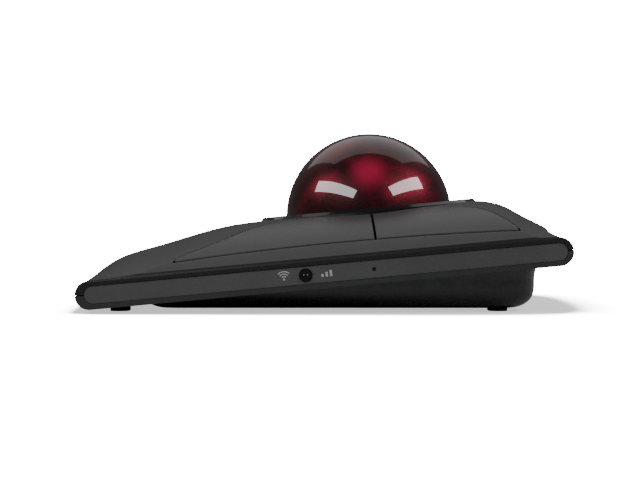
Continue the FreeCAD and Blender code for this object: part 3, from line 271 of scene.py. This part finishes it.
steel = bright_metal("steel_bright", (0.52, 0.52, 0.53), roughness=0.30, brush=3500.0)
finish(steel, "button_pins", "case_screws", "cup_screws", "board_screws")
nickel = bright_metal("nickel_plate", (0.62, 0.60, 0.56), roughness=0.24, brush=2400.0)
finish(nickel, "usb_c_socket", "receiver_plug")
zirconia = moulded("bearing_zirconia", (0.80, 0.79, 0.76),
                   roughness=0.10, grain=900.0, depth=0.000001, mottle=0.02, coat=0.5)
finish(zirconia, "ball_bearings")

# The ball is cast in clear ruby resin with pearl flakes under its skin, then ground round
# and polished like a billiard ball. A crimson glow is painted on its near side as emission,
# in place of light from above gathering in the resin; it is set by a fixed direction in the
# world, so it stays there as the ball turns. It is one solid ball; the layers that carry its
# three turns are hidden inside it.
low, high = (Vector(corner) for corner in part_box("ball_shell"))
BALL_CENTRE = (low + high) / 2
BALL_RADIUS = (high.x - low.x) / 2
# Where the painted glow sits on the ball, how far it spreads, and how strongly it glows.
PAINTED_GLOW_WAY = (0.844, -0.028, 0.535)
PAINTED_GLOW_REACH = 0.0095
PAINTED_GLOW_STRENGTH = 0.24
PAINTED_GLOW_CRIMSON = (1.0, 0.03, 0.13)
BALL_RUBY = (0.115, 0.0008, 0.0095)
BALL_DEEP = (0.022, 0.0003, 0.0020)
# Clouds and flakes per metre, the flakes' relief, and the polish and index of the skin.
CLOUD_SCALE = 42.0
FLAKE_SCALE = 1300.0
FLAKE_DEPTH = 0.00012
SKIN_ROUGHNESS = 0.015
SKIN_IOR = 1.55


def ruby_resin_with_painted_glow():
    """Pearl flakes and soft clouds of red under a clear polished skin, and a painted crimson glow
    where the surface faces a fixed way in the world.
    """
    material = bpy.data.materials.new("ruby_cast_resin_painted_glow")
    material.use_nodes = True
    nodes = material.node_tree.nodes
    links = material.node_tree.links
    shader = nodes["Principled BSDF"]
    shader.inputs["Metallic"].default_value = 0.85
    shader.inputs["Coat Weight"].default_value = 1.0
    shader.inputs["Coat Roughness"].default_value = SKIN_ROUGHNESS
    shader.inputs["Coat IOR"].default_value = SKIN_IOR
    place = nodes.new("ShaderNodeTexCoord")
    clouds = nodes.new("ShaderNodeTexNoise")
    clouds.inputs["Scale"].default_value = CLOUD_SCALE
    clouds.inputs["Detail"].default_value = 4.0
    clouds.inputs["Distortion"].default_value = 1.2
    links.new(place.outputs["Object"], clouds.inputs["Vector"])
    tint = nodes.new("ShaderNodeValToRGB")
    deep, ruby = tint.color_ramp.elements
    deep.position = 0.38
    deep.color = (*BALL_DEEP, 1.0)
    ruby.position = 0.62
    ruby.color = (*BALL_RUBY, 1.0)
    links.new(clouds.outputs["Fac"], tint.inputs["Fac"])
    links.new(tint.outputs["Color"], shader.inputs["Base Color"])
    flakes = nodes.new("ShaderNodeTexNoise")
    flakes.inputs["Scale"].default_value = FLAKE_SCALE
    flakes.inputs["Detail"].default_value = 2.0
    links.new(place.outputs["Object"], flakes.inputs["Vector"])
    shimmer = nodes.new("ShaderNodeMapRange")
    shimmer.inputs["To Min"].default_value = 0.26
    shimmer.inputs["To Max"].default_value = 0.50
    links.new(flakes.outputs["Fac"], shimmer.inputs["Value"])
    links.new(shimmer.outputs["Result"], shader.inputs["Roughness"])
    facets = nodes.new("ShaderNodeBump")
    facets.inputs["Strength"].default_value = 0.35
    facets.inputs["Distance"].default_value = FLAKE_DEPTH
    links.new(flakes.outputs["Fac"], facets.inputs["Height"])
    links.new(facets.outputs["Normal"], shader.inputs["Normal"])
    # Painted glow: crimson emission, strongest where the surface faces a fixed way in the world,
    # stands in for light gathering in the resin.
    facing = nodes.new("ShaderNodeNewGeometry")
    painted_glow_distance = nodes.new("ShaderNodeVectorMath")
    painted_glow_distance.operation = "DISTANCE"
    painted_glow_distance.inputs[1].default_value = Vector(PAINTED_GLOW_WAY).normalized()
    links.new(facing.outputs["Normal"], painted_glow_distance.inputs[0])
    glow = nodes.new("ShaderNodeMapRange")
    glow.interpolation_type = "SMOOTHERSTEP"
    glow.inputs["From Min"].default_value = 0.0
    glow.inputs["From Max"].default_value = PAINTED_GLOW_REACH / BALL_RADIUS
    glow.inputs["To Min"].default_value = PAINTED_GLOW_STRENGTH
    glow.inputs["To Max"].default_value = 0.0
    links.new(painted_glow_distance.outputs["Value"], glow.inputs["Value"])
    shader.inputs["Emission Color"].default_value = (*PAINTED_GLOW_CRIMSON, 1.0)
    links.new(glow.outputs["Result"], shader.inputs["Emission Strength"])
    return material


bpy.ops.object.select_all(action="DESELECT")
bpy.ops.mesh.primitive_cube_add(size=2.0)
ball = bpy.context.object
ball.name = "ruby_ball"
bpy.ops.object.mode_set(mode="EDIT")
bpy.ops.mesh.select_all(action="SELECT")
bpy.ops.mesh.subdivide(number_cuts=47)
bpy.ops.transform.tosphere(value=1.0)
bpy.ops.object.mode_set(mode="OBJECT")
ball.data.transform(Matrix.Scale(BALL_RADIUS / ball.data.vertices[0].co.length, 4))
ball.data.transform(Matrix.Translation(BALL_CENTRE))
bpy.ops.object.shade_smooth()
ball.data.materials.append(ruby_resin_with_painted_glow())
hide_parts("ball_shell")
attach(ball, "ball_shell")
inner_resin = moulded("ruby_inner_resin", (0.12, 0.005, 0.012),
                      roughness=0.15, grain=900.0, depth=0.000001, coat=0.5)
finish(inner_resin, "ball_core", "ball_middle")

# Two small marks are pad-printed on the right strip in pale grey ink: arcs over a dot
# beside the button's front, for the wireless link, and three rising bars behind it, for
# the pointer's speed. The button carries two tiny raised specks of the same ink.
INK_THICK = 0.00003
strip_low, strip_high = (Vector(corner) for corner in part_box("side_strip_right"))
key_low, key_high = (Vector(corner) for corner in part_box("dpi_button"))
STRIP_FACE = strip_high.x
KEY_CENTRE = (key_low + key_high) / 2
DECK_SLOPE = math.radians(5.3)
ink = moulded("pale_grey_ink", (0.30, 0.30, 0.31),
              roughness=0.55, grain=3000.0, depth=0.000004, mottle=0.06)


def on_strip(along, up, out=0.0):
    """A point on the right strip, along it and up from the small button's middle."""
    run = math.cos(DECK_SLOPE) * along - math.sin(DECK_SLOPE) * up
    rise = math.sin(DECK_SLOPE) * along + math.cos(DECK_SLOPE) * up
    return Vector((STRIP_FACE + out, KEY_CENTRE.y + run, KEY_CENTRE.z + rise))


def printed(name, shape, body, out=0.0):
    """Close a flat shape, drawn along and up in millimetres, into a film of ink."""
    bpy.ops.object.mode_set(mode="EDIT")
    bpy.ops.mesh.select_all(action="SELECT")
    bpy.ops.mesh.extrude_region_move(TRANSFORM_OT_translate={"value": (0, 0, 1)})
    bpy.ops.mesh.select_all(action="SELECT")
    bpy.ops.mesh.normals_make_consistent(inside=False)
    bpy.ops.object.mode_set(mode="OBJECT")
    for vertex in shape.data.vertices:
        depth = INK_THICK if vertex.co.z > 0.5 else -INK_THICK / 3
        vertex.co = on_strip(vertex.co.x / 1000, vertex.co.y / 1000, out + depth)
    shape.name = name
    shape.data.materials.append(ink)
    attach(shape, body)


def flat_bar(along, up, width, height):
    """An upright bar about a point."""
    bpy.ops.object.select_all(action="DESELECT")
    bpy.ops.mesh.primitive_plane_add(size=1.0)
    bar = bpy.context.object
    bpy.ops.object.mode_set(mode="EDIT")
    bpy.ops.mesh.select_all(action="SELECT")
    bpy.ops.transform.resize(value=(width, height, 1.0))
    bpy.ops.transform.translate(value=(along, up, 0))
    bpy.ops.object.mode_set(mode="OBJECT")
    return bar


def flat_arc(along, up, radius, width, spread):
    """A band swept about a point, evenly to both sides of straight up."""
    bpy.ops.object.select_all(action="DESELECT")
    bpy.ops.mesh.primitive_circle_add(vertices=72, radius=radius)
    arc = bpy.context.object
    bpy.ops.object.mode_set(mode="EDIT")
    bpy.ops.mesh.select_mode(type="VERT")
    bpy.ops.mesh.select_all(action="SELECT")
    bpy.ops.mesh.extrude_edges_move()
    bpy.ops.transform.resize(value=[(radius + width) / radius] * 3)
    bpy.ops.mesh.select_all(action="DESELECT")
    bpy.ops.object.mode_set(mode="OBJECT")
    for vertex in arc.data.vertices:
        vertex.select = abs(math.atan2(vertex.co.x, vertex.co.y)) > spread / 2
    bpy.ops.object.mode_set(mode="EDIT")
    bpy.ops.mesh.delete(type="VERT")
    bpy.ops.mesh.select_all(action="SELECT")
    bpy.ops.transform.translate(value=(along, up, 0))
    bpy.ops.object.mode_set(mode="OBJECT")
    return arc


def flat_dot(along, up, radius):
    """A round dot about a point."""
    bpy.ops.object.select_all(action="DESELECT")
    bpy.ops.mesh.primitive_circle_add(vertices=20, radius=radius, fill_type="NGON",
                                      location=(along, up, 0))
    bpy.ops.object.transform_apply(location=True)
    return bpy.context.object


# The marks' places and sizes on the strip, in millimetres from the button's middle.
MARK_FOOT = -0.95
BAR_WIDTH = 0.72
BAR_STEP = 1.3
BAR_START = 5.0
BAR_SHORTEST = 0.9
BAR_GROWTH = 0.5
for step in range(3):
    tall = BAR_SHORTEST + BAR_GROWTH * step
    bar = flat_bar(BAR_START + BAR_STEP * step, MARK_FOOT + tall / 2, BAR_WIDTH, tall)
    printed("speed_bar_%d" % (step + 1), bar, "housing")
LINK_ALONG = -6.6
LINK_UP = MARK_FOOT + 0.25
LINK_DOT = 0.32
LINK_STEP = 0.74
LINK_WIDTH = 0.34
LINK_SPREAD = math.radians(96)
printed("link_dot", flat_dot(LINK_ALONG, LINK_UP, LINK_DOT), "housing")
for step in range(1, 4):
    arc = flat_arc(LINK_ALONG, LINK_UP, LINK_STEP * step, LINK_WIDTH, LINK_SPREAD)
    printed("link_arc_%d" % step, arc, "housing")
SPECK_ASIDE = 0.55
SPECK_UP = 0.15
SPECK_RADIUS = 0.16
KEY_PROUD = key_high.x - STRIP_FACE
for step, along in enumerate((-SPECK_ASIDE, SPECK_ASIDE), 1):
    speck = flat_dot(along, SPECK_UP, SPECK_RADIUS)
    printed("key_speck_%d" % step, speck, "dpi_button", KEY_PROUD)

# Table. One plain pale sheet, matte, far wider than the mouse; it glows of its own so that
# it stays paper white, and the glow fades under the mouse, which leaves a soft shadow.
TABLE_WIDTH = 8.0
PAPER_PALE = 0.42
PAPER_GLOW = 25.0
# How far the shadow reaches, how open the sky is where the glow is least and where it is
# full, and what is left of it in the darkest place.
SHADOW_REACH = 0.10
SHADOW_DARK = 0.60
SHADOW_CLEAR = 0.99
SHADOW_LEFT = 0.03
bpy.ops.object.select_all(action="DESELECT")
bpy.ops.mesh.primitive_plane_add(size=TABLE_WIDTH)
table = bpy.context.object
table.name = "table"
table_paper = bpy.data.materials.new("table_paper")
table_paper.use_nodes = True
paper_nodes = table_paper.node_tree.nodes
paper_links = table_paper.node_tree.links
paper = paper_nodes["Principled BSDF"]
paper.inputs["Base Color"].default_value = (PAPER_PALE, PAPER_PALE, PAPER_PALE, 1.0)
paper.inputs["Roughness"].default_value = 0.9
paper.inputs["Specular IOR Level"].default_value = 0.0
paper.inputs["Emission Color"].default_value = (1, 1, 1, 1)
seen = paper_nodes.new("ShaderNodeLightPath")
glow = paper_nodes.new("ShaderNodeMath")
glow.operation = "MULTIPLY"
glow.inputs[1].default_value = PAPER_GLOW
shade = paper_nodes.new("ShaderNodeAmbientOcclusion")
shade.samples = 32
shade.inputs["Distance"].default_value = SHADOW_REACH
fade = paper_nodes.new("ShaderNodeMapRange")
fade.inputs["From Min"].default_value = SHADOW_DARK
fade.inputs["From Max"].default_value = SHADOW_CLEAR
fade.inputs["To Min"].default_value = SHADOW_LEFT
paper_links.new(shade.outputs["AO"], fade.inputs["Value"])
paper_links.new(seen.outputs["Is Camera Ray"], glow.inputs[0])
dimmed = paper_nodes.new("ShaderNodeMath")
dimmed.operation = "MULTIPLY"
paper_links.new(glow.outputs["Value"], dimmed.inputs[0])
paper_links.new(fade.outputs["Result"], dimmed.inputs[1])
paper_links.new(dimmed.outputs["Value"], paper.inputs["Emission Strength"])
table.data.materials.append(table_paper)

# Light. A dim room behind a white backdrop, two long soft boxes on the near side, low
# enough to lie in the ball as two soft windows, and a broad faint panel over the far side.
ROOM_LIGHT = 0.075
BACKDROP_WHITE = 30.0
BOX_DISTANCE = 0.9
world = bpy.data.worlds.new("studio")
world.use_nodes = True
room_nodes = world.node_tree.nodes
room_links = world.node_tree.links
room = room_nodes["Background"]
room.inputs["Color"].default_value = (1, 1, 1, 1)
path = room_nodes.new("ShaderNodeLightPath")
backdrop = room_nodes.new("ShaderNodeMapRange")
backdrop.inputs["To Min"].default_value = ROOM_LIGHT
backdrop.inputs["To Max"].default_value = BACKDROP_WHITE
room_links.new(path.outputs["Is Camera Ray"], backdrop.inputs["Value"])
room_links.new(backdrop.outputs["Result"], room.inputs["Strength"])
bpy.context.scene.world = world


def soft_box(name, towards, width, height, power):
    """A soft box that faces the ball from the given direction."""
    light = bpy.data.lights.new(name, "AREA")
    light.shape = "RECTANGLE"
    light.size = width
    light.size_y = height
    light.energy = power
    holder = bpy.data.objects.new(name, light)
    bpy.context.scene.collection.objects.link(holder)
    way = Vector(towards).normalized()
    holder.location = BALL_CENTRE + way * BOX_DISTANCE
    holder.rotation_euler = (-way).to_track_quat("-Z", "Y").to_euler()
    holder.visible_camera = False


soft_box("soft_box_front", (0.435, -0.678, 0.562), width=1.04, height=0.21, power=7.0)
soft_box("soft_box_rear", (0.368, 0.728, 0.610), width=0.84, height=0.22, power=6.5)
soft_box("panel_over", (-0.55, 0.0, 0.83), width=1.3, height=0.9, power=2.2)

# Camera. A long lens, low and almost level, square to the right side of the mouse.
camera = bpy.data.cameras.new("camera")
camera.sensor_width = 36.0
camera.lens = 110.19375
camera.clip_start = 0.01
camera.clip_end = 20.0
eye = bpy.data.objects.new("camera", camera)
bpy.context.scene.collection.objects.link(eye)
eye.location = (0.654, -0.0013, 0.0325)
eye.rotation_euler = (math.radians(89.0), 0, math.radians(90))
bpy.context.scene.camera = eye
